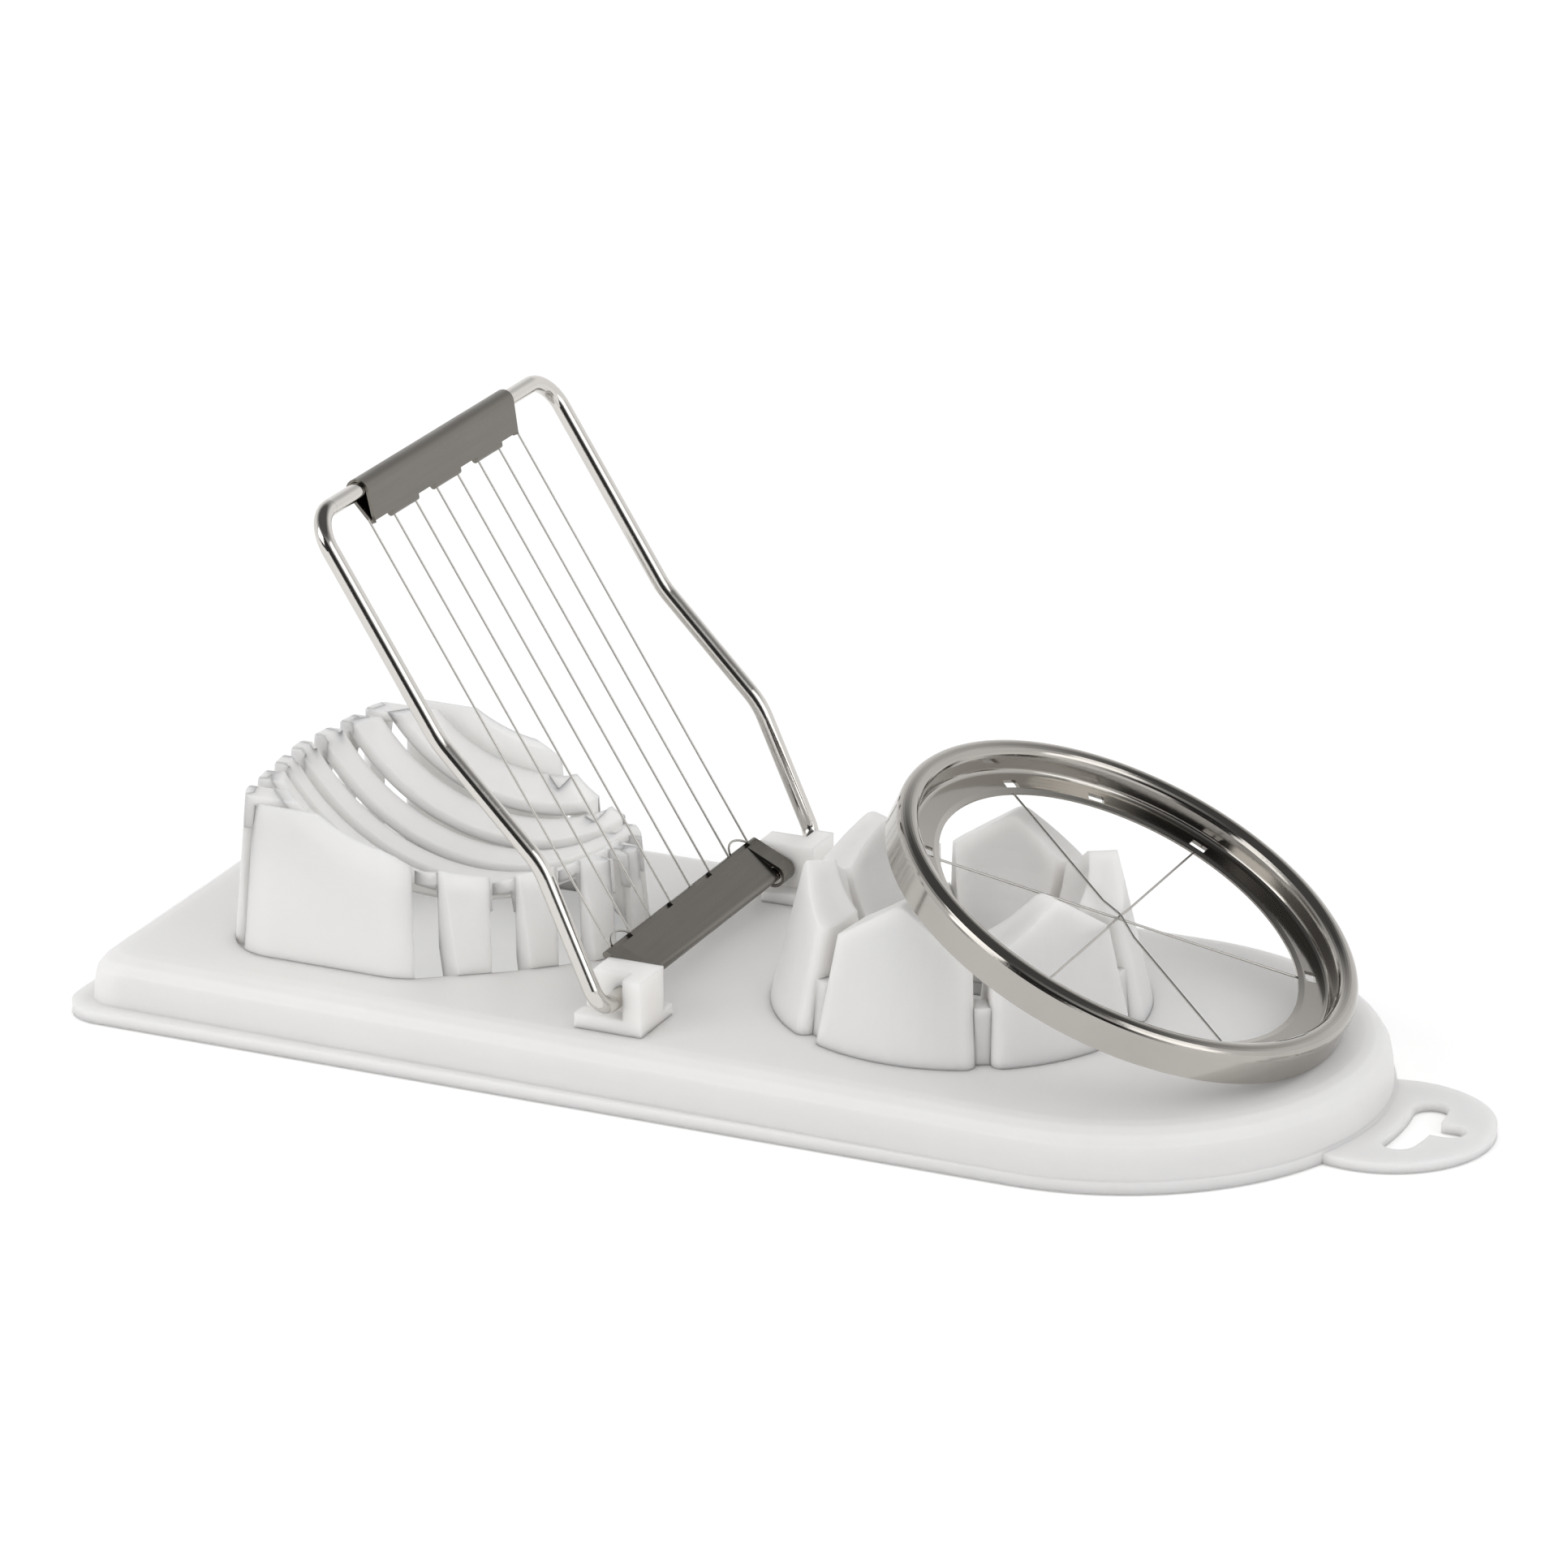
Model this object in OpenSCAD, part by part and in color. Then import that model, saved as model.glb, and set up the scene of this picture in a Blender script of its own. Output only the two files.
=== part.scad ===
// Egg slicer with a slotted cradle, a swinging wire frame and a row of wedge petals
// that a loose wired ring fits over. X runs along the tray, towards the hanging tab.

/* [Tray] */
// Height of the tray's top face
tray_h = 9; // [8:0.5:11]
// Half width of the tray at the square end
half_w_square = 36.3; // [35:0.1:38]
// Radius of the tray's round end
round_r = 38.3; // [38:0.1:40]
// Distance from the origin to the centre of the round end
round_x = 45.65; // [43:0.05:48]
// Distance from the origin to the square end's wall
square_x = -97.95; // [-100:0.05:-96]
// Thickness of the top plate
plate_t = 1.8; // [1.4:0.1:2.4]
// Thickness of the side walls
wall_t = 1.6; // [1.2:0.1:2.2]
// Radius of the edge between the plate and the walls
edge_r = 4; // [2:0.5:5]
// Thickness of the lip round the foot
lip_t = 1.8; // [1.2:0.1:2.4]
// How far the lip stands out at the square end
lip_w = 2.8; // [2:0.1:3]

/* [Hanging tab] */
// Radius of the tab
tab_r = 15; // [13:0.5:16]
// Thickness of the tab
tab_t = 1.5; // [1:0.1:2]
// Width of the notch that a hook drops into
notch_w = 4.6; // [4:0.1:6]

/* [Cradle] */
// Centre of the cradle along the tray
cradle_x = -53.35; // [-55:0.05:-52]
// Radius of the bowl that the egg lies in
bowl_r = 32; // [30:0.5:34]
// Height of the bowl's lowest point
bowl_z = 15.5; // [14:0.5:18]
// Height of the rim on the handle side
rim_high = 31; // [29:0.5:33]
// Height of the rim on the hinge side
rim_low = 23; // [22:0.5:26]
// Thickness of the cradle's outer wall
cradle_t = 1.3; // [1:0.1:2]
// Thickness of the cradle's bowl
bowl_t = 1.6; // [1.2:0.1:2.4]
// How far the wall leans in from foot to rim
cradle_draft = 2; // [0:0.1:3]

/* [Slicing frame] */
// Number of slicing wires
wire_n = 8; // [8:8]
// Distance between slicing wires
pitch = 6.5; // [6:0.1:6.6]
// Diameter of the wires
wire_d = 0.34; // [0.28:0.02:0.4]
// Width of the slots that the wires drop into
slot_w = 2.5; // [1.8:0.1:2.8]
// Width of the windows where the slots go through the wall
window_w = 3.8; // [2.6:0.1:4]
// Diameter of the frame's rod
rod_d = 2.5; // [2:0.1:2.6]
// Distance between the two side rods
rod_span = 71.8; // [71.6:0.1:72]
// Thickness of the folded sheet combs
sheet_t = 0.4; // [0.3:0.05:0.5]

/* [Hinge] */
// Distance from the origin to the hinge axis
hinge_x = -16.45; // [-17:0.05:-16]
// Height of the hinge axis
hinge_z = 13.7; // [13.5:0.1:14]
// Radial clearance of the rod in the post's bore
bore_gap = 0.05; // [0.02:0.01:0.1]
// Distance from the middle to the inner face of each post
post_y = 25; // [25:0.1:25.4]
// Height of the top of each post
post_top = 17.2; // [17:0.1:18]

/* [Petals] */
// Number of wedge petals
petal_n = 6; // [6:6]
// Distance from the origin to the middle of the row of petals
petal_x = 22.15; // [22:0.05:23]
// Height of a petal's ridge
petal_top = 30.2; // [28:0.1:30.2]
// Outer radius at the foot of the petals
petal_foot_r = 26.8; // [26:0.1:26.9]
// Outer radius at the ridge
petal_ridge_r = 21.7; // [21:0.1:23]
// Inner radius at the ridge
petal_inner_r = 17.6; // [16:0.1:18]
// Width of the gap between petals
petal_gap = 2.2; // [1.8:0.1:2.6]
// Slope of a petal's gable
gable_slope = 33; // [25:1:40]
// Thickness of a petal's walls
petal_t = 1.6; // [1.2:0.1:2]

/* [Wedger ring] */
// Outer radius of the ring's skirt
ring_r = 34.8; // [34:0.1:35]
// Inner radius of the ring's lip
ring_lip_r = 27.2; // [27:0.1:28]
// Height of the ring's skirt
ring_h = 5.4; // [5:0.1:8]
// Lean of the ring as it lies on the petals
ring_tilt = 25.5; // [25.5:25.5]
// Middle of the ring's top along the tray
ring_x = 47.65; // [47.65:0.05:48]

/* [Hidden] */

$fn = 48;
plastic = "whitesmoke";
steel = "silver";
wire_colour = "lightgray";
slice_t = 0.02;                         // thickness of the slices that a hull joins
corner_r = 4.5;                         // tray's square corners, seen from above
wall_flare = 0.4;                       // how far the walls stand out at their foot
arc_steps = 32;
reach_all = 120;                        // longer than any piece, for cutting blocks

// Places of the bail's bends, from the hinge axis as [x, z]
bend_low = [-9.07, 20.2];
bend_high = [-24.41, 35.86];
bail_top = [-43.2, 65.5];
wire_low = [-4.68, 3.53];               // wire edge of the hinge comb
wire_high = [-41.06, 60.9];             // wire edge of the handle comb

function arc_points(centre, r, from, to, steps) =
    [for (i = [0:steps]) let (a = from + (to - from) * i / steps)
        centre + r * [cos(a), sin(a)]];

// ---------------------------------------------------------------- tray

// Tray seen from above: a square end with rounded corners and a half-round end
function tray_outline(left, half_left, r, corner) = concat(
    arc_points([round_x, 0], r, -90, 90, 40),
    arc_points([left + corner, half_left - corner], corner, 90, 180, 8),
    arc_points([left + corner, corner - half_left], corner, 180, 270, 8));

function wall_outline(inset) =
    tray_outline(square_x + inset, half_w_square - inset, round_r - inset, corner_r);

function lip_outline() =
    tray_outline(square_x - lip_w, half_w_square + lip_w + 0.3, round_r + 0.6,
        corner_r + lip_w / 2);

module tray_slice(z, inset) {
    translate([0, 0, z])
        linear_extrude(slice_t)
            polygon(wall_outline(inset));
}

// Solid block with a rounded upper edge
module tray_block(inset, foot, top, round) {
    hull() {
        tray_slice(foot, inset - wall_flare);
        for (a = [0:22.5:90])
            tray_slice(top - slice_t - round * (1 - sin(a)), inset + round * (1 - cos(a)));
    }
}

module tray_shell() {
    difference() {
        tray_block(0, 0, tray_h, edge_r);
        tray_block(wall_t, -1, tray_h - plate_t, edge_r - wall_t);
    }
}

module tray_lip() {
    linear_extrude(lip_t)
        difference() {
            polygon(lip_outline());
            polygon(wall_outline(wall_t / 2));
        }
}

// Hanging tab with a crescent opening and a hook notch
module tab() {
    tab_x = round_x + 40.1;
    slot_r = 44.6;                      // middle of the crescent, from the round end's centre
    slot_half = 2.5;
    slot_angle = 8.4;
    linear_extrude(tab_t)
        difference() {
            translate([tab_x, 0])
                circle(tab_r, $fn = 96);
            translate([round_x, 0]) {
                circle(round_r - wall_t / 2, $fn = 96);
                polygon(concat(
                    arc_points([0, 0], slot_r + slot_half, -slot_angle, slot_angle, 12),
                    arc_points([0, 0], slot_r - slot_half, slot_angle, -slot_angle, 12)));
                for (s = [-1, 1])
                    rotate(s * slot_angle)
                        translate([slot_r, 0])
                            circle(slot_half);
                translate([slot_r, -notch_w / 2])
                    square([4.6, notch_w]);
                translate([slot_r + 4.6, 0])
                    circle(notch_w / 2);
            }
        }
}

module base_tray() {
    hub_hole_r = 5.8;
    color(plastic)
        difference() {
            union() {
                tray_shell();
                tray_lip();
                tab();
            }
            cradle_foot(0);
            translate([petal_x, 0, 0])
                cylinder(r = hub_hole_r, h = 2 * tray_h);
            for (i = [1:petal_n])
                petal_place(i)
                    petal_hollow();
        }
}

// ---------------------------------------------------------------- egg cradle

// Foot of the slots, a little below the plate's face
slot_z = tray_h - 0.9;

// Circles whose joint outline is the cradle seen from above: [x, y, radius]
cradle_circles = [[-20, 17.4, 9], [-20, -17.4, 9], [-2, 17.4, 9], [-2, -17.4, 9],
    [7, 9.6, 10], [7, -9.6, 10], [13.2, 0, 12.8], [-11, 0, 20]];

// Outermost of the circles in the direction of a unit vector
function best_reach(u) = max([for (c = cradle_circles) c[0] * u[0] + c[1] * u[1] + c[2]]);

function cradle_outline(grow) =
    [for (a = [0:4:356]) let (u = [cos(a), sin(a)], far = best_reach(u))
        for (c = cradle_circles)
            if (c[0] * u[0] + c[1] * u[1] + c[2] == far)
                [c[0], c[1]] + (c[2] + grow) * u];

// A slot seen from above, along X. Where it goes through the wall it widens to a window
// that is square to the wall's line, between the outline's points p and q.
module slot_plan(y) {
    line = cradle_outline(-(cradle_t + cradle_draft) / 2);
    last = len(line) - 1;
    deep = 4.8;
    translate([cradle_x - reach_all / 2, y - slot_w / 2])
        square([reach_all, slot_w]);
    for (i = [0:last])
        let (p = line[i], q = line[i == last ? 0 : i + 1])
            if ((p[1] - y) * (q[1] - y) < 0)
                translate([cradle_x, 0] + p + (q - p) * (y - p[1]) / (q[1] - p[1]))
                    rotate(atan2(q[1] - p[1], q[0] - p[0]))
                        square([window_w, deep], center = true);
}

module cradle_slice(z, grow) {
    translate([cradle_x, 0, z])
        linear_extrude(slice_t)
            polygon(cradle_outline(grow));
}

// Leaning block inside the cradle's outline
module cradle_block(inset, foot, top) {
    hull() {
        cradle_slice(foot, -inset);
        cradle_slice(top - slice_t, -inset - cradle_draft);
    }
}

// Straight opening in the plate that the cradle's foot fills
module cradle_foot(inset) {
    translate([cradle_x, 0, tray_h - plate_t - 1])
        linear_extrude(plate_t + 1)
            polygon(cradle_outline(-inset));
}

// Height of the rim along X, from the cradle's centre: a level, an S curve and a slow fall
function rim_z(x) =
    let (step_from = -12, step_to = 5, nose_fall = 1.8, nose = 26,
        low = rim_low + nose_fall,
        t = min(1, max(0, (x - step_from) / (step_to - step_from))))
    rim_high - (rim_high - low) * (1 - cos(180 * t)) / 2
        - nose_fall * max(0, x - step_to) / (nose - step_to);

module below_rim() {
    from = -32;
    to = 28;
    translate([cradle_x, 30, 0])
        rotate([90, 0, 0])
            linear_extrude(60)
                polygon(concat([[to, tray_h - plate_t], [from, tray_h - plate_t]],
                    [for (x = [from:2:to]) [x, rim_z(x)]]));
}

module bowl(grow) {
    translate([cradle_x, 0, bowl_z + bowl_r])
        sphere(bowl_r + grow, $fn = 96);
}

module egg_cradle() {
    foot_z = tray_h - plate_t;
    color(plastic)
        difference() {
            intersection() {
                union() {
                    cradle_block(0, tray_h, rim_high + 1);
                    difference() {
                        cradle_foot(0);
                        translate([0, 0, foot_z - reach_all])
                            cube([2 * reach_all, 2 * reach_all, 2 * reach_all], center = true);
                    }
                }
                below_rim();
            }
            bowl(0);
            difference() {
                cradle_block(cradle_t, foot_z - 1, rim_high + 1);
                bowl(bowl_t);
            }
            for (i = [1:wire_n])
                translate([0, 0, slot_z])
                    linear_extrude(rim_high)
                        slot_plan(wire_y(i));
        }
}

// ---------------------------------------------------------------- petals

module petal_place(i) {
    translate([petal_x, 0, 0])
        rotate((i - 0.5) * 360 / petal_n)
            children();
}

// Half section of the cup inside the petals and the hub hole below it, as [radius, height].
// inset shifts it outwards.
function cup_section(inset) =
    let (hub_r = 6, floor_z = tray_h + 1.6, rise = petal_top - floor_z)
    concat([[0, reach_all], [0, 0], [hub_r + inset, 0], [hub_r + inset, floor_z - inset]],
        [for (a = [82.5:-7.5:0])
            [hub_r + inset + (petal_inner_r - hub_r) * cos(a), petal_top - rise * sin(a)]],
        [[petal_inner_r + inset, reach_all]]);

// Sector between two gaps, seen from above, with rounded outer corners
module petal_slice(z, r, inset) {
    half = 180 / petal_n;
    round = 1.6 - inset / 2;
    side = petal_gap / 2 + inset;
    at = half - asin((side + round) / (r - round));
    corner = (r - round) * [cos(at), sin(at)];
    upper = arc_points(corner, round, at, 90 + half, 5);
    lower = [for (i = [5:-1:1]) [upper[i][0], -upper[i][1]]];
    outer = [for (i = [-5:4]) r * [cos(at * i / 5), sin(at * i / 5)]];
    translate([0, 0, z])
        linear_extrude(slice_t)
            polygon(concat([[side / sin(half), 0]], lower, outer, upper));
}

// Cone between two slices, whose foot may go straight down below the plate
module petal_body(inset, foot) {
    hull() {
        if (foot > 0)
            petal_slice(tray_h - foot, petal_foot_r - inset, inset);
        petal_slice(tray_h, petal_foot_r - inset, inset);
        petal_slice(petal_top, petal_ridge_r - inset, inset);
    }
}

// Everything under the gable roof, with a rounded ridge
module under_gable(inset, foot) {
    ridge_r = 2;
    drop = inset / cos(gable_slope);
    top = petal_top - drop;
    half = 16;
    start = [ridge_r * sin(gable_slope), top - ridge_r + ridge_r * cos(gable_slope)];
    eave = start[1] - (half - start[0]) * tan(gable_slope);
    rotate([90, 0, 90])
        linear_extrude(petal_foot_r + 1)
            polygon(concat([[-half, foot], [half, foot], [half, eave]],
                arc_points([0, top - ridge_r], ridge_r, 90 - gable_slope, 90 + gable_slope, 8),
                [[-half, eave]]));
}

module petal_form(inset, foot) {
    difference() {
        intersection() {
            petal_body(inset, foot);
            under_gable(inset, tray_h - foot);
        }
        rotate_extrude($fn = 96)
            polygon(cup_section(inset));
    }
}

module petal_hollow() {
    petal_form(petal_t, plate_t + 1);
}

module wedge_petal(i) {
    color(plastic)
        petal_place(i)
            difference() {
                petal_form(0, 0);
                petal_hollow();
            }
}

// Low wall that closes the gap between petals i - 1 and i
module petal_web(i) {
    web = [[24.9, 21.6], [24.2, 20.4], 8];      // outer and inner radius at foot and top, height
    color(plastic)
        translate([petal_x, 0, tray_h])
            rotate((i - 1) * 360 / petal_n)
                translate([0, petal_gap / 2, 0])
                    rotate([90, 0, 0])
                        linear_extrude(petal_gap)
                            polygon([[web[0][1], 0], [web[0][0], 0],
                                [web[1][0], web[2]], [web[1][1], web[2]]]);
}

// ---------------------------------------------------------------- hinge posts

// side is -1 for the near post and 1 for the far one
module hinge_post(side) {
    left = hinge_x - 5.4;
    right = hinge_x + 4.4;
    body_t = 4.3;
    lug_x = hinge_x + rod_d / 2 + 0.3;
    lug_t = 3;
    pad_z = tray_h + 2.2;
    inner_pad = [6.9, 2.8, 1.7];
    chamfer = 1.4;
    color(plastic)
        mirror([0, side < 0 ? 1 : 0, 0])
            difference() {
                union() {
                    translate([0, post_y + body_t, 0])
                        rotate([90, 0, 0])
                            linear_extrude(body_t)
                                polygon([[left, tray_h], [right, tray_h], [right, post_top],
                                    [left + chamfer, post_top], [left, post_top - chamfer]]);
                    translate([lug_x, post_y + body_t, tray_h])
                        cube([right - lug_x, lug_t, post_top - tray_h]);
                    translate([left - 0.5, post_y + body_t, tray_h])
                        cube([lug_x - left + 0.5, lug_t, pad_z - tray_h]);
                    translate([right - inner_pad[0], post_y - inner_pad[1], tray_h])
                        cube([inner_pad[0], inner_pad[1], inner_pad[2]]);
                }
                translate([hinge_x, 0, hinge_z])
                    rotate([-90, 0, 0])
                        cylinder(d = rod_d + 2 * bore_gap, h = reach_all);
            }
}

// ---------------------------------------------------------------- slicing frame

function wire_y(i) = (i - (wire_n + 1) / 2) * pitch;

function at_hinge(p, y) = [hinge_x + p[0], y, hinge_z + p[1]];

function unit(v) = v / norm(v);

// Bar of round section from one point to another
module bar(from, to, r) {
    v = to - from;
    translate(from)
        rotate([0, acos(v[2] / norm(v)), atan2(v[1], v[0])])
            cylinder(r = r, h = norm(v));
}

// Bend of round section at the corner b of the path a, b, c
module elbow(a, b, c, bend_r, r) {
    u = unit(b - a);
    v = unit(c - b);
    turn = acos(u * v);
    x = unit(v - u);
    centre = b + x * bend_r / cos(turn / 2);
    start = unit(b - u * bend_r * tan(turn / 2) - centre);
    axis = unit(cross(u, v));
    side = cross(axis, start);
    multmatrix([[start[0], side[0], axis[0], centre[0]],
            [start[1], side[1], axis[1], centre[1]],
            [start[2], side[2], axis[2], centre[2]],
            [0, 0, 0, 1]])
        rotate_extrude(angle = turn)
            translate([bend_r, 0])
                circle(r);
}

// Length that a bend takes from each of its two straights
function bend_cut(a, b, c, bend_r) =
    bend_r * tan(acos(unit(b - a) * unit(c - b)) / 2);

// Rod bent along a path; radii holds the bend radius at each inner point.
// A rod thins a little where it is bent, and each straight runs into its bends.
module bent_rod(path, radii, r) {
    thinning = 0.01;
    overlap = 0.05;
    last = len(path) - 1;
    cut = [for (i = [0:last])
        i == 0 || i == last ? 0
            : bend_cut(path[i - 1], path[i], path[i + 1], radii[i - 1]) - overlap];
    for (i = [0:last - 1])
        let (u = unit(path[i + 1] - path[i]))
            bar(path[i] + u * cut[i], path[i + 1] - u * cut[i + 1], r);
    for (i = [1:last - 1])
        elbow(path[i - 1], path[i], path[i + 1], radii[i - 1], r - thinning);
}

module bail_rod() {
    side_y = rod_span / 2;
    tip_y = post_y - 3.8;
    near = [at_hinge([0, 0], -tip_y), at_hinge([0, 0], -side_y), at_hinge(bend_low, -side_y),
        at_hinge(bend_high, -side_y), at_hinge(bail_top, -side_y)];
    far = [for (i = [4:-1:0]) [near[i][0], -near[i][1], near[i][2]]];
    color(steel)
        bent_rod(concat(near, far), [3.2, 12, 12, 5, 5, 12, 12, 3.2], rod_d / 2);
}

// Sheet wrapped round a rod, whose two flaps meet at the wire edge
function drop_outline(r, tip_r, reach) =
    let (a = acos((r - tip_r) / reach))
    concat(arc_points([0, 0], r, a, 360 - a, arc_steps),
        arc_points([reach, 0], tip_r, -a, a, 6));

// Folded strip along Y, whose fold is round at the origin and whose flaps meet at +X
module folded_strip(from, to, fold_r, reach) {
    translate([0, to, 0])
        rotate([90, 0, 0])
            linear_extrude(to - from)
                difference() {
                    polygon(drop_outline(fold_r + sheet_t, sheet_t + 0.1, reach));
                    polygon(drop_outline(fold_r, 0.1, reach - 0.6));
                }
}

// Gaps in the wire edge between the wires of each pair, on the side of the strip that is
// given by low and high
module pair_gaps(pairs, reach, low, high) {
    gap = [0.8, pitch - 1.3];
    for (i = pairs)
        translate([reach + sheet_t + 0.1 - gap[0], wire_y(i) + (pitch - gap[1]) / 2, low])
            cube([reach, gap[1], high - low]);
}

// Turns a comb's own frame, with the rod along Y, to where the comb sits
module comb_place(at, towards) {
    v = towards - at;
    translate([hinge_x + at[0], 0, hinge_z + at[1]])
        rotate([0, -atan2(v[1], v[0]), 0])
            children();
}

// Slanted cut at the end of a comb's flaps
module end_cut(x, y, slant) {
    for (s = [0, 1])
        mirror([0, s, 0])
            translate([x, y, -pitch])
                rotate(slant)
                    cube([2 * pitch, 2 * pitch, 2 * pitch]);
}

module handle_comb() {
    half = 23.9;
    reach = norm(wire_high - bail_top);
    color(steel)
        difference() {
            comb_place(bail_top, wire_high)
                difference() {
                    folded_strip(-half, half, rod_d / 2 + bore_gap, reach);
                    pair_gaps([1:2:wire_n - 1], reach, -pitch, pitch);
                    end_cut(-rod_d, half - 1, -6);
                }
            wire_holes();
        }
}

// The strip is pressed nearly flat between the posts, and its ends wrap the rod's tips
module hinge_comb() {
    ear = 3.6;
    half = post_y - 0.4;
    flat_fold_r = 0.45;
    reach = norm(wire_low);
    color(steel)
        difference() {
            comb_place([0, 0], wire_low)
                difference() {
                    union() {
                        folded_strip(ear - half, half - ear, flat_fold_r, reach);
                        for (s = [-1, 1])
                            folded_strip(s < 0 ? -half : half - ear, s < 0 ? ear - half : half,
                                rod_d / 2 + bore_gap, reach);
                    }
                    pair_gaps([1:2:wire_n - 1], reach, -pitch, 0);
                    end_cut(rod_d / 2 + sheet_t, half, 18);
                }
            wire_holes();
        }
}

// Slack in the laced wire, which stands up between the wires of an end pair
module wire_loop(i) {
    rise = 1.3;
    gap = 0.5;
    half = pitch / 2 - gap;
    r = (half * half + rise * rise) / (2 * rise);
    swing = 2 * asin(half / r);
    reach = norm(wire_low) + sheet_t + 0.1;
    color(wire_colour)
        comb_place([0, 0], wire_low)
            translate([reach + rise - r, wire_y(i) + pitch / 2, -0.3])
                rotate(-swing / 2)
                    rotate_extrude(angle = swing)
                        translate([r, 0])
                            circle(wire_d / 2);
}

module wire_run(i, r, extra) {
    ends = [at_hinge(wire_low, wire_y(i)), at_hinge(wire_high, wire_y(i))];
    u = unit(ends[1] - ends[0]);
    bar(ends[0] - u * extra, ends[1] + u * extra, r);
}

module wire_holes() {
    for (i = [1:wire_n])
        wire_run(i, wire_d / 2 + 0.03, 1.6);
}

module slicing_wire(i) {
    color(wire_colour)
        wire_run(i, wire_d / 2, 0.8);
}

// ---------------------------------------------------------------- wedger ring

// Section of the pressed ring as [radius, height below its top]
function ring_section() =
    let (t = 0.5, rim_r = 1.6, mid = ring_r - rim_r, wall_in = ring_r - 2 * rim_r,
        ledge_z = -3.3, fillet = 0.7, corner = wall_in - fillet)
    concat([[ring_r, -ring_h]],
        arc_points([mid, -rim_r], rim_r, 0, 180, 16),
        arc_points([corner, ledge_z], fillet, 0, -90, 6),
        [[ring_lip_r + 0.8, ledge_z - fillet - 0.2], [ring_lip_r, ledge_z - fillet - 0.4],
            [ring_lip_r, ledge_z - fillet - 0.7], [ring_lip_r + 0.8, ledge_z - fillet - t - 0.2]],
        arc_points([corner, ledge_z], fillet + t, -90, 0, 6),
        arc_points([mid, -rim_r], rim_r - t, 180, 0, 16),
        [[ring_r - t, -ring_h]]);

ring_wire_z = -4.9;                     // wires below the ring's top

module ring_place() {
    low = tray_h + 0.25;                    // the skirt's lowest point
    top = low + ring_h * cos(ring_tilt) + ring_r * sin(ring_tilt);
    translate([ring_x, 0, top])
        rotate([0, ring_tilt, 0])
            children();
}

module wedger_ring() {
    slot = [1.5, 2.4, 3];
    slot_r = 29;
    color(steel)
        ring_place()
            difference() {
                rotate_extrude($fn = 120)
                    polygon(ring_section());
                for (a = [30, 90, 122, 150, 210, 270, 330])
                    rotate(a)
                        translate([slot_r - slot[0] / 2, -slot[1] / 2, -5.5])
                            cube(slot);
            }
}

// Wire across the ring. Where the wires cross, each is bowed over the one before.
module wedger_wire(i) {
    bow = (i - 1) * (wire_d + 0.03);
    end = [28.9, 0, ring_wire_z];
    run = [[-end[0], 0, end[2]], [-4, 0, end[2]], [0, 0, end[2] + bow],
        [4, 0, end[2]], end];
    color(wire_colour)
        ring_place()
            rotate(30 + (i - 1) * 60)
                if (bow == 0)
                    bar(run[0], run[4], wire_d / 2);
                else
                    bent_rod(run, [4, 4, 4], wire_d / 2);
}

base_tray();
egg_cradle();
wedge_petal(1);  // wedge_petal_1
wedge_petal(2);  // wedge_petal_2
wedge_petal(3);  // wedge_petal_3
wedge_petal(4);  // wedge_petal_4
wedge_petal(5);  // wedge_petal_5
wedge_petal(6);  // wedge_petal_6
petal_web(1);  // petal_web_1
petal_web(2);  // petal_web_2
petal_web(3);  // petal_web_3
petal_web(4);  // petal_web_4
petal_web(5);  // petal_web_5
petal_web(6);  // petal_web_6
hinge_post(-1);  // hinge_post_near
hinge_post(1);  // hinge_post_far
bail_rod();
handle_comb();
hinge_comb();
slicing_wire(1);  // slicing_wire_1
slicing_wire(2);  // slicing_wire_2
slicing_wire(3);  // slicing_wire_3
slicing_wire(4);  // slicing_wire_4
slicing_wire(5);  // slicing_wire_5
slicing_wire(6);  // slicing_wire_6
slicing_wire(7);  // slicing_wire_7
slicing_wire(8);  // slicing_wire_8
wire_loop(1);  // wire_loop_near
wire_loop(7);  // wire_loop_far
wedger_ring();
wedger_wire(1);  // wedger_wire_1
wedger_wire(2);  // wedger_wire_2
wedger_wire(3);  // wedger_wire_3
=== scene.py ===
import math

import bmesh
import bpy
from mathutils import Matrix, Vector


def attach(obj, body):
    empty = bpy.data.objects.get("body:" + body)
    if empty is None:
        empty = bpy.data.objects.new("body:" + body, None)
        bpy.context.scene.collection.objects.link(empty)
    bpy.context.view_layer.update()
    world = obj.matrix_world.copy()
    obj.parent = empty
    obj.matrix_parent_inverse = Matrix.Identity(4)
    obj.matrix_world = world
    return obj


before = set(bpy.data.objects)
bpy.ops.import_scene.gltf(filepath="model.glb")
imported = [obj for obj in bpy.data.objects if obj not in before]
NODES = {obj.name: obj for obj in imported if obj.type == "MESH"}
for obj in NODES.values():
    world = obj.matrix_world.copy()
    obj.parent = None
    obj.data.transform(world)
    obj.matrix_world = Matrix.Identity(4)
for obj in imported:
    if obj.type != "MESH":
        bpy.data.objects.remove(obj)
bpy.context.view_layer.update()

MM = 0.001                                  # lengths are in metres, and in millimetres where MM scales them


# ---------------------------------------------------------------- material helpers

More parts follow.
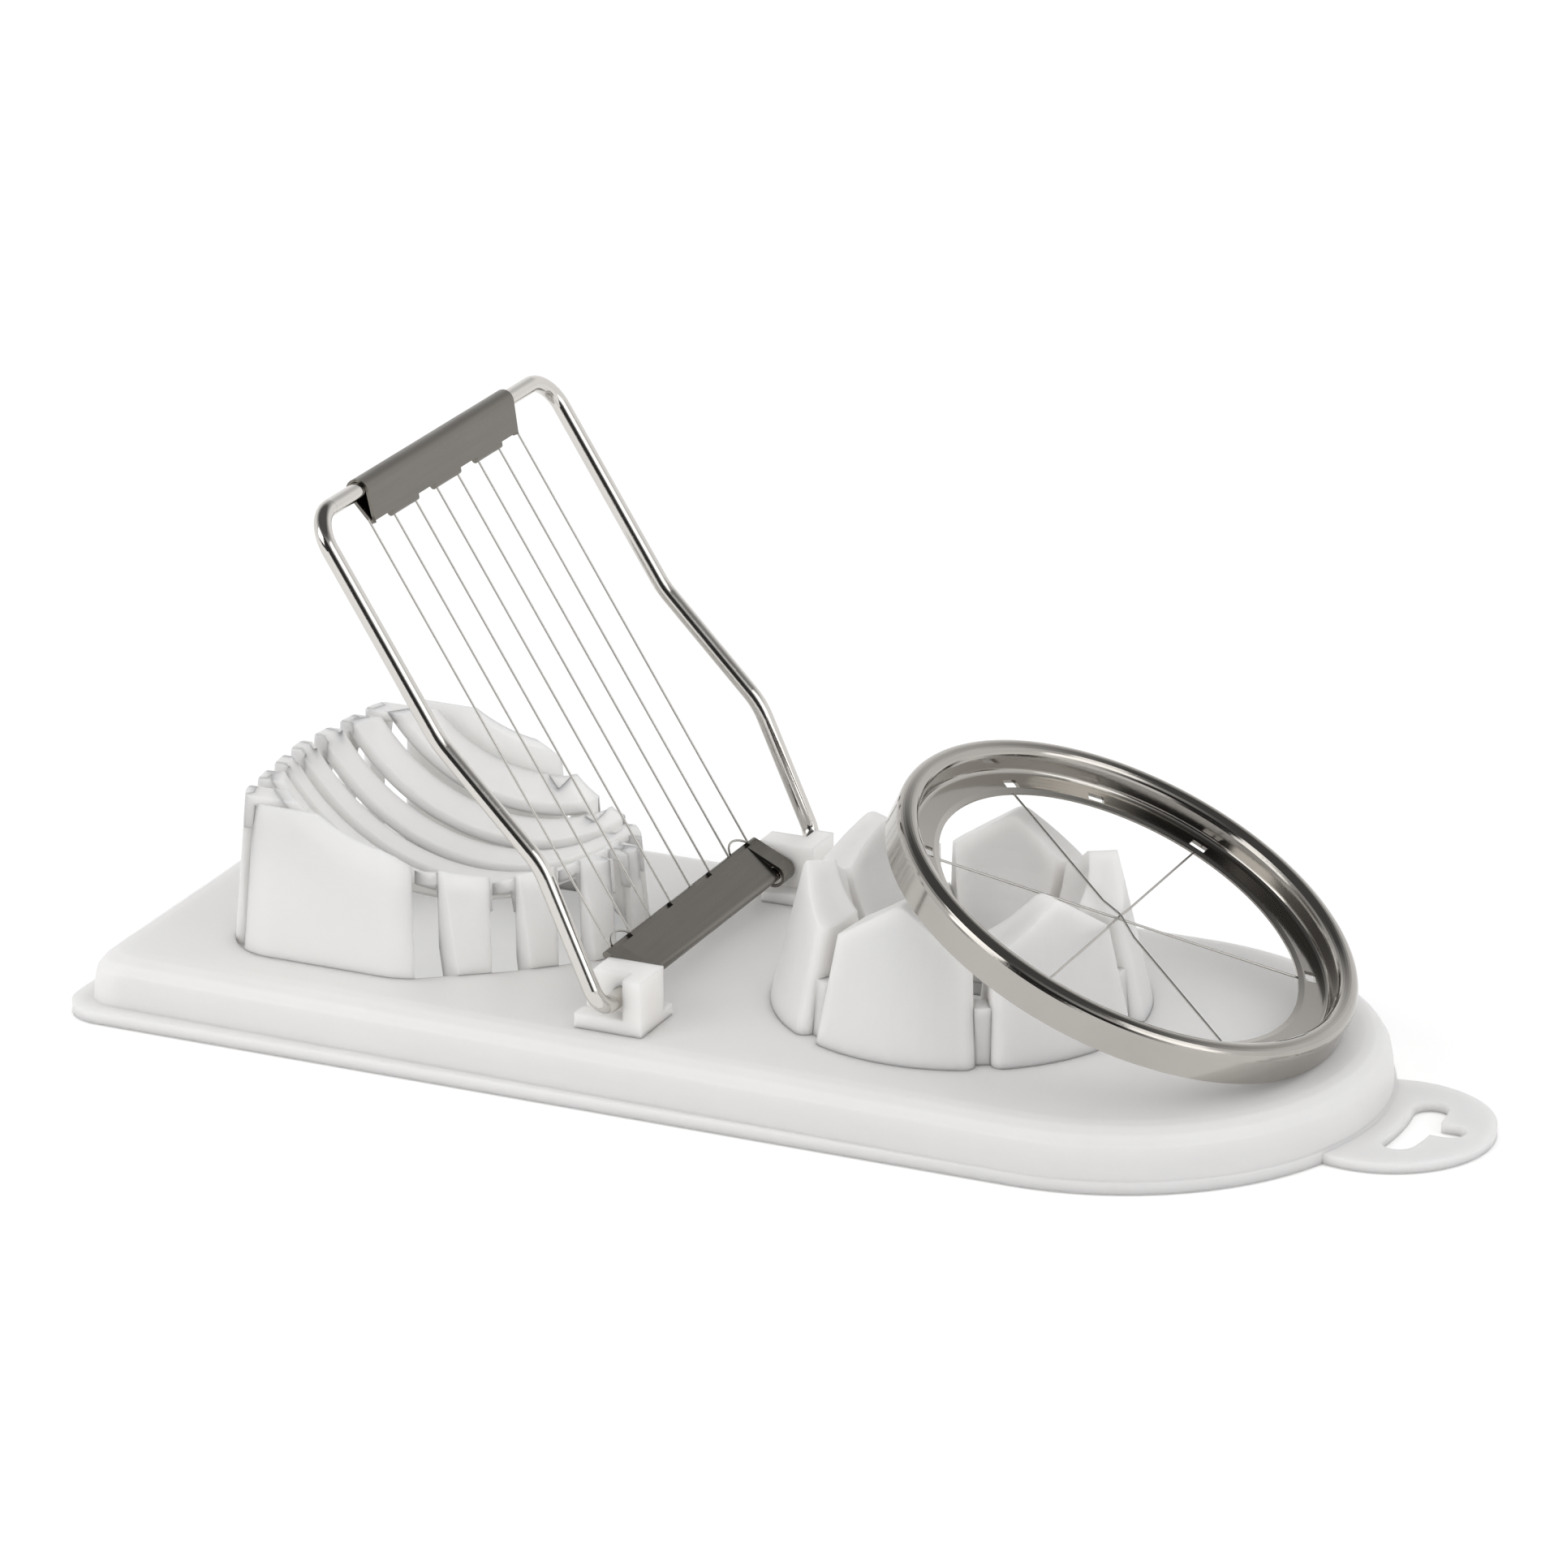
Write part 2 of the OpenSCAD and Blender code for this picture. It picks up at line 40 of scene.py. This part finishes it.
class Shader:
    """A node material with short calls for the nodes that the finishes use."""

    def __init__(self, name):
        self.material = bpy.data.materials.new(name)
        self.material.use_nodes = True
        self.tree = self.material.node_tree
        self.bsdf = self.tree.nodes["Principled BSDF"]

    def node(self, kind, settings=None, **inputs):
        made = self.tree.nodes.new("ShaderNode" + kind)
        for key, value in (settings or {}).items():
            setattr(made, key, value)
        for key, value in inputs.items():
            self.feed(made.inputs[key.replace("_", " ")], value)
        return made

    def feed(self, socket, value):
        """Links a socket's output to the socket, or sets a constant on it."""
        if isinstance(value, bpy.types.NodeSocket):
            self.tree.links.new(value, socket)
        else:
            socket.default_value = value

    def place(self, stretch):
        """Object coordinates in metres, scaled along the axes: a small number draws a pattern out."""
        coordinates = self.node("TexCoord").outputs["Object"]
        mapping = self.node("Mapping", Vector=coordinates, Scale=stretch)
        return mapping.outputs["Vector"]

    def noise(self, scale, detail, stretch=(1, 1, 1)):
        """Noise with features of roughly 1/scale metres."""
        made = self.node("TexNoise", Vector=self.place(stretch), Scale=scale, Detail=detail)
        return made.outputs["Fac"]

    def circles(self, centre, tilt, scale):
        """Noise that runs in circles round an axis through centre, which tilts about Y."""
        coordinates = self.node("TexCoord").outputs["Object"]
        turned = self.node("Mapping", {"vector_type": "TEXTURE"}, Vector=coordinates,
                           Location=centre, Rotation=(0.0, tilt, 0.0))
        flat = self.node("Mapping", Vector=turned.outputs["Vector"], Scale=(1, 1, 0))
        radius = self.node("VectorMath", {"operation": "LENGTH"})
        self.feed(radius.inputs[0], flat.outputs["Vector"])
        made = self.node("TexNoise", {"noise_dimensions": "1D"}, W=radius.outputs["Value"],
                         Scale=scale, Detail=4.0)
        return made.outputs["Fac"]

    def span(self, value, low, high, start=0.3, end=0.7):
        """Maps start..end onto low..high."""
        made = self.node("MapRange", Value=value)
        for key, number in (("From Min", start), ("From Max", end), ("To Min", low), ("To Max", high)):
            made.inputs[key].default_value = number
        return made.outputs["Result"]

    def add(self, first, second):
        made = self.node("Math", {"operation": "ADD"})
        self.feed(made.inputs[0], first)
        self.feed(made.inputs[1], second)
        return made.outputs[0]

    def mix_colour(self, factor, first, second):
        made = self.node("Mix", {"data_type": "RGBA"})
        self.feed(made.inputs[0], factor)
        self.feed(made.inputs[6], first)
        self.feed(made.inputs[7], second)
        return made.outputs[2]

    def soft_edges(self, radius):
        """A normal that rounds the edges."""
        return self.node("Bevel", {"samples": 6}, Radius=radius).outputs["Normal"]

    def bump(self, height, distance, normal=None):
        made = self.node("Bump", Height=height, Distance=distance)
        if normal is not None:
            self.feed(made.inputs["Normal"], normal)
        return made.outputs["Normal"]

    def set(self, **inputs):
        for key, value in inputs.items():
            self.feed(self.bsdf.inputs[key.replace("_", " ")], value)


def grey(level, warmth=0.0):
    """An opaque colour; warmth takes a little green and more blue away."""
    return (level, level * (1 - warmth * 0.4), level * (1 - warmth), 1.0)


# ---------------------------------------------------------------- plastic and steel

EDGE_RADIUS = 0.6 * MM
GRAIN_DEPTH = 0.015 * MM
SCRATCH_DEPTH = 0.006 * MM
MILKY_DEPTH = (0.0046, 0.0046, 0.0044)      # how far light goes into the plastic, for red, green and blue
LINE_DEPTH = 0.003 * MM
PIT_DEPTH = 0.002 * MM


def moulded_plastic(name, level):
    """Milky polypropylene: soft depth, a fine mould grain, flow clouds and hairline scratches."""
    s = Shader(name)
    clouds = s.noise(38.0, 2.0)
    flow = s.noise(16.0, 2.0, stretch=(0.35, 1.0, 1.0))
    grain = s.noise(2600.0, 2.0)
    scratches = s.noise(240.0, 1.0, stretch=(0.06, 1.0, 1.0))
    plain, pale, aged = grey(level, 0.055), grey(level + 0.03, 0.035), grey(level - 0.06, 0.09)
    clouded = s.mix_colour(s.span(clouds, 0.0, 1.0), plain, pale)
    tone = s.mix_colour(s.span(flow, 0.0, 0.25), clouded, aged)
    fine = s.bump(grain, GRAIN_DEPTH, s.soft_edges(EDGE_RADIUS))
    scored = s.bump(s.span(scratches, 0.0, 1.0, 0.62, 0.66), SCRATCH_DEPTH, fine)
    s.set(Base_Color=tone, Roughness=s.span(clouds, 0.38, 0.48), IOR=1.49, Normal=scored)
    s.set(Subsurface_Weight=0.9, Subsurface_Radius=MILKY_DEPTH, Subsurface_Scale=1.0)
    return s.material


def polished_steel(name, level, warmth, rough, lines_of):
    """Stainless steel with smudges, fine pits and the lines of its forming, which lines_of draws."""
    s = Shader(name)
    lines = lines_of(s)
    smudge = s.noise(90.0, 4.0)
    pits = s.noise(3200.0, 1.0)
    tone = s.mix_colour(s.span(smudge, 0.0, 1.0), grey(level, warmth), grey(level * 1.08, warmth))
    smudged = s.span(smudge, rough * 0.85, rough * 1.25)
    shine = s.add(smudged, s.span(lines, -rough * 0.2, rough * 0.2))
    drawn = s.bump(lines, LINE_DEPTH)
    pitted = s.bump(s.span(pits, 0.0, 1.0, 0.66, 0.72), PIT_DEPTH, drawn)
    s.set(Base_Color=tone, Metallic=1.0, Roughness=shine, Normal=pitted)
    return s.material


# ---------------------------------------------------------------- finishes on the CAD nodes

RING_CENTRE = (0.04765, 0.0, 0.02911)
RING_TILT = math.radians(25.5)
POST_EDGE = 0.4 * MM

plastic = moulded_plastic("milky_polypropylene", 0.88)
rod_steel = polished_steel("drawn_rod", 0.62, 0.08, 0.11,
                           lambda s: s.noise(900.0, 3.0, stretch=(1.0, 0.12, 1.0)))
sheet_steel = polished_steel("rolled_sheet", 0.18, 0.16, 0.28,
                             lambda s: s.noise(1200.0, 3.0, stretch=(1.0, 0.04, 1.0)))
ring_steel = polished_steel("spun_ring", 0.40, 0.11, 0.11,
                            lambda s: s.circles(RING_CENTRE, RING_TILT, 1400.0))
wire_steel = polished_steel("cutting_wire", 0.50, 0.08, 0.22,
                            lambda s: s.noise(1500.0, 2.0, stretch=(0.1, 1.0, 0.1)))

FINISHES = {"bail_rod": rod_steel, "handle_comb": sheet_steel, "hinge_comb": sheet_steel,
            "wedger_ring": ring_steel}


def finish_of(name):
    """The node's steel, or plastic. All the wires and wire loops share one steel."""
    if "_wire_" in name or name.startswith("wire_"):
        return wire_steel
    return FINISHES.get(name, plastic)


def round_edges(piece, width):
    """Rounds a block's edges with a bevel."""
    bevel = piece.modifiers.new("rounded", "BEVEL")
    bevel.width = width
    bevel.segments = 3
    bevel.limit_method = "ANGLE"
    bevel.angle_limit = math.radians(40)


for node_name, node in NODES.items():
    node.data.materials.clear()
    node.data.materials.append(finish_of(node_name))
    if node_name.startswith("hinge_post"):
        round_edges(node, POST_EDGE)


# ---------------------------------------------------------------- whole slats over the cradle's windows

# The cradle as in the CAD, in millimetres. Every x but CRADLE_X is measured from the cradle's own middle.
# The outline is the hull of circles, given as x, y and radius.
CRADLE_X = -53.35
CRADLE_CIRCLES = ((-20, 17.4, 9), (-20, -17.4, 9), (-2, 17.4, 9), (-2, -17.4, 9),
                  (7, 9.6, 10), (7, -9.6, 10), (13.2, 0, 12.8), (-11, 0, 20))
TRAY_TOP = 9
BOWL_R = 32.0
BOWL_CENTRE_Z = 47.5
BOWL_SHEET = 1.6
RIM_HIGH, RIM_LOW = 31.0, 24.8
CURVE_START, CURVE_RUN = -12, 17
NOSE_START, NOSE_RUN, NOSE_FALL = 5, 21, 1.8
NOSE_RIM = 23.6                             # the rim's height where the slats meet it at the nose
WALL = 1.3
WALL_LEAN = 2.0 / 23                        # inward lean of the wall per height
PITCH = 6.5
SLOT_HALF = 1.25

# The strips that scene.py adds
STRIPS = 7
SKIRT = 5.0                                 # height of the wall above the windows
SKIN = 0.08                                 # how far the strips stay inside the CAD's faces
STEP_IN = 0.05                              # run of the step from a strip's wall to its sheet
ALONG, ACROSS = 64, 5                       # faces along and across a strip's sheet
OUTLINE_STEPS = 360
CREASE = math.radians(35)


def rim_z(x):
    """Height of the cradle's rim: a level, an S curve and a slow fall."""
    t = min(1.0, max(0.0, (x - CURVE_START) / CURVE_RUN))
    fall = NOSE_FALL * max(0.0, x - NOSE_START) / NOSE_RUN
    return RIM_HIGH - (RIM_HIGH - RIM_LOW) * (1 - math.cos(math.pi * t)) / 2 - fall


def wall_outline(height):
    """The cradle's outline at a height, where the wall's lean has shrunk the circles."""
    lean = WALL_LEAN * (height - TRAY_TOP) + SKIN
    points = []
    for i in range(OUTLINE_STEPS):
        turn = math.tau * i / OUTLINE_STEPS
        ux, uy = math.cos(turn), math.sin(turn)
        points.append(max((cx * ux + cy * uy + r, cx + (r - lean) * ux, cy + (r - lean) * uy)
                          for cx, cy, r in CRADLE_CIRCLES)[1:])
    return points


def crossings(outline, y):
    """All x at which the outline crosses y."""
    pairs = zip(outline, outline[1:] + outline[:1])
    return [ax + (bx - ax) * (y - ay) / (by - ay) for (ax, ay), (bx, by) in pairs
            if (ay - y) * (by - y) < 0]


def sphere_z(radius, rho):
    """Height of a sphere round the bowl's centre at a distance from its axis, or the rim beyond it."""
    return BOWL_CENTRE_Z - math.sqrt(radius ** 2 - rho ** 2) if rho < radius else RIM_HIGH


def strip_profile(low, high, y):
    """Top and bottom points along a strip, which ends in a short piece of wall at each rim."""
    first, last = low + WALL + STEP_IN, high - WALL - STEP_IN
    sheet = [(first + (last - first) * i / ALONG, 0) for i in range(ALONG + 1)]
    profile = []
    for x, outward in [(low, -1), (low + WALL, -1)] + sheet + [(high - WALL, 1), (high, 1)]:
        rho = math.hypot(x, y)
        top = min(sphere_z(BOWL_R + SKIN, rho), rim_z(x) - SKIN)
        under = min(sphere_z(BOWL_R + BOWL_SHEET - SKIN, rho), top - BOWL_SHEET + 3 * SKIN)
        bottom = top - SKIRT if outward else under
        profile.append(((x, top), (x + outward * SKIRT * WALL_LEAN, bottom)))
    return profile


def add_strip(mesh, rows):
    """Faces between rows of (top, bottom) vertex pairs, closed at the sides and the ends."""
    for near, far in zip(rows, rows[1:]):
        for i in range(len(near) - 1):
            mesh.faces.new((near[i][0], near[i + 1][0], far[i + 1][0], far[i][0]))
            mesh.faces.new((near[i][1], far[i][1], far[i + 1][1], near[i + 1][1]))
        mesh.faces.new((near[0][1], near[0][0], far[0][0], far[0][1]))
        mesh.faces.new((near[-1][0], near[-1][1], far[-1][1], far[-1][0]))
    for side, order in ((rows[0], 1), (rows[-1], -1)):
        for here, there in zip(side, side[1:]):
            mesh.faces.new((here[1], there[1], there[0], here[0])[::order])


def make_slats():
    """Strips of the bowl's sheet between the wires, which go on whole to the rim over the windows."""
    tail, nose = wall_outline(RIM_HIGH), wall_outline(NOSE_RIM)
    width = PITCH - 2 * (SLOT_HALF + SKIN)
    mesh = bmesh.new()
    for strip in range(STRIPS):
        start = (strip - STRIPS / 2) * PITCH + SLOT_HALF + SKIN
        rows = []
        for j in range(ACROSS + 1):
            y = start + width * j / ACROSS
            profile = strip_profile(min(crossings(tail, y)), max(crossings(nose, y)), y)
            rows.append([[mesh.verts.new(((x + CRADLE_X) * MM, y * MM, z * MM)) for x, z in pair]
                         for pair in profile])
        add_strip(mesh, rows)
    data = bpy.data.meshes.new("bowl_slats")
    mesh.to_mesh(data)
    mesh.free()
    data.shade_smooth()
    data.set_sharp_from_angle(angle=CREASE)
    data.materials.append(plastic)
    slats = bpy.data.objects.new("bowl_slats", data)
    bpy.context.scene.collection.objects.link(slats)
    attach(slats, "base")


make_slats()


# ---------------------------------------------------------------- room, light and camera

FLOOR_SIZE = 12.0
FLOOR_DROP = 0.2 * MM                       # keeps the floor just clear of the tray's foot
FLOOR_TONE = 0.80
FLOOR_GLOW = 0.32
ROOM_LIGHT = 0.80                           # strength of the room where it isn't seen directly
# Mirrors see the room darken towards its front and its ceiling: axis, start, end, strength at the end
MIRRORED_SHADES = (("Y", -0.45, -0.75, 0.03), ("Z", 0.38, 0.80, 0.10))
SOFTBOXES = (("key_light", (-0.7, -1.1, 0.7), (1.0, 0.7), 4.8),        # name, place, size, power
             ("fill_light", (1.1, -0.3, 0.6), (0.8, 0.8), 2.7))
LIGHT_AIM = Vector((0, 0, 0.02))
CAMERA_PLACE = (0.41785, -0.92290, 0.41340)
CAMERA_DOWN = 20.358                        # degrees below level
CAMERA_TURN = (90 - CAMERA_DOWN, 0.055, 24.607)
SENSOR_WIDTH = 36.0
LENS = 177.65


def map_range(tree, value, **limits):
    """A map range node from value, with its limits by name."""
    made = tree.nodes.new("ShaderNodeMapRange")
    for key, number in limits.items():
        made.inputs[key.replace("_", " ")].default_value = number
    tree.links.new(value, made.inputs["Value"])
    return made.outputs["Result"]


def combine(tree, operation, first, second):
    """A maths node on two sockets, or on a socket and a number."""
    made = tree.nodes.new("ShaderNodeMath")
    made.operation = operation
    for socket, value in zip(made.inputs, (first, second)):
        if isinstance(value, bpy.types.NodeSocket):
            tree.links.new(value, socket)
        else:
            socket.default_value = value
    return made.outputs[0]


def seen_directly(tree):
    """1 for rays from the camera, from mirrors and through glass, else 0."""
    path = tree.nodes.new("ShaderNodeLightPath")
    seen = path.outputs["Is Camera Ray"]
    for ray in ("Is Glossy Ray", "Is Transmission Ray"):
        seen = combine(tree, "MAXIMUM", seen, path.outputs[ray])
    return seen


def make_floor():
    """A pale floor whose own light brings it to white, so that only shadows show on it."""
    bpy.ops.mesh.primitive_plane_add(size=FLOOR_SIZE, location=(0, 0, -FLOOR_DROP))
    floor = bpy.context.object
    floor.name = "floor"
    material = bpy.data.materials.new("pale_floor")
    material.use_nodes = True
    tree = material.node_tree
    bsdf = tree.nodes["Principled BSDF"]
    bsdf.inputs["Base Color"].default_value = grey(FLOOR_TONE)
    bsdf.inputs["Roughness"].default_value = 0.9
    bsdf.inputs["Emission Color"].default_value = grey(1.0)
    glow = combine(tree, "MULTIPLY", seen_directly(tree), FLOOR_GLOW)
    tree.links.new(glow, bsdf.inputs["Emission Strength"])
    floor.data.materials.append(material)


def make_world():
    """A pale even room. In mirrors its front wall and ceiling are dark, which gives metal its lines."""
    world = bpy.data.worlds.new("studio")
    bpy.context.scene.world = world
    world.use_nodes = True
    tree = world.node_tree
    background = tree.nodes["Background"]
    coordinates = tree.nodes.new("ShaderNodeTexCoord")
    split = tree.nodes.new("ShaderNodeSeparateXYZ")
    tree.links.new(coordinates.outputs["Generated"], split.inputs[0])
    shades = [map_range(tree, split.outputs[axis], From_Min=start, From_Max=end, To_Min=1.0, To_Max=dark)
              for axis, start, end, dark in MIRRORED_SHADES]
    mirrored = tree.nodes.new("ShaderNodeMix")
    mirrored.inputs["A"].default_value = 1.0
    path = tree.nodes.new("ShaderNodeLightPath")
    tree.links.new(path.outputs["Is Glossy Ray"], mirrored.inputs["Factor"])
    tree.links.new(combine(tree, "MINIMUM", *shades), mirrored.inputs["B"])
    even = map_range(tree, seen_directly(tree), To_Min=ROOM_LIGHT, To_Max=1.0)
    strength = combine(tree, "MULTIPLY", mirrored.outputs["Result"], even)
    background.inputs["Color"].default_value = grey(1.0)
    tree.links.new(strength, background.inputs["Strength"])


def add_softbox(name, place, size, power):
    light = bpy.data.lights.new(name, "AREA")
    light.shape = "RECTANGLE"
    light.size, light.size_y = size
    light.energy = power
    lamp = bpy.data.objects.new(name, light)
    bpy.context.scene.collection.objects.link(lamp)
    lamp.location = place
    lamp.rotation_euler = (LIGHT_AIM - Vector(place)).to_track_quat("-Z", "Y").to_euler()


def add_camera():
    camera = bpy.data.objects.new("camera", bpy.data.cameras.new("camera"))
    bpy.context.scene.collection.objects.link(camera)
    camera.location = CAMERA_PLACE
    camera.rotation_euler = [math.radians(angle) for angle in CAMERA_TURN]
    camera.data.sensor_width = SENSOR_WIDTH
    camera.data.lens = LENS
    camera.data.clip_start = 0.05
    camera.data.clip_end = 50.0
    bpy.context.scene.camera = camera


make_floor()
make_world()
for softbox in SOFTBOXES:
    add_softbox(*softbox)
add_camera()
bpy.context.scene.view_settings.view_transform = "Standard"
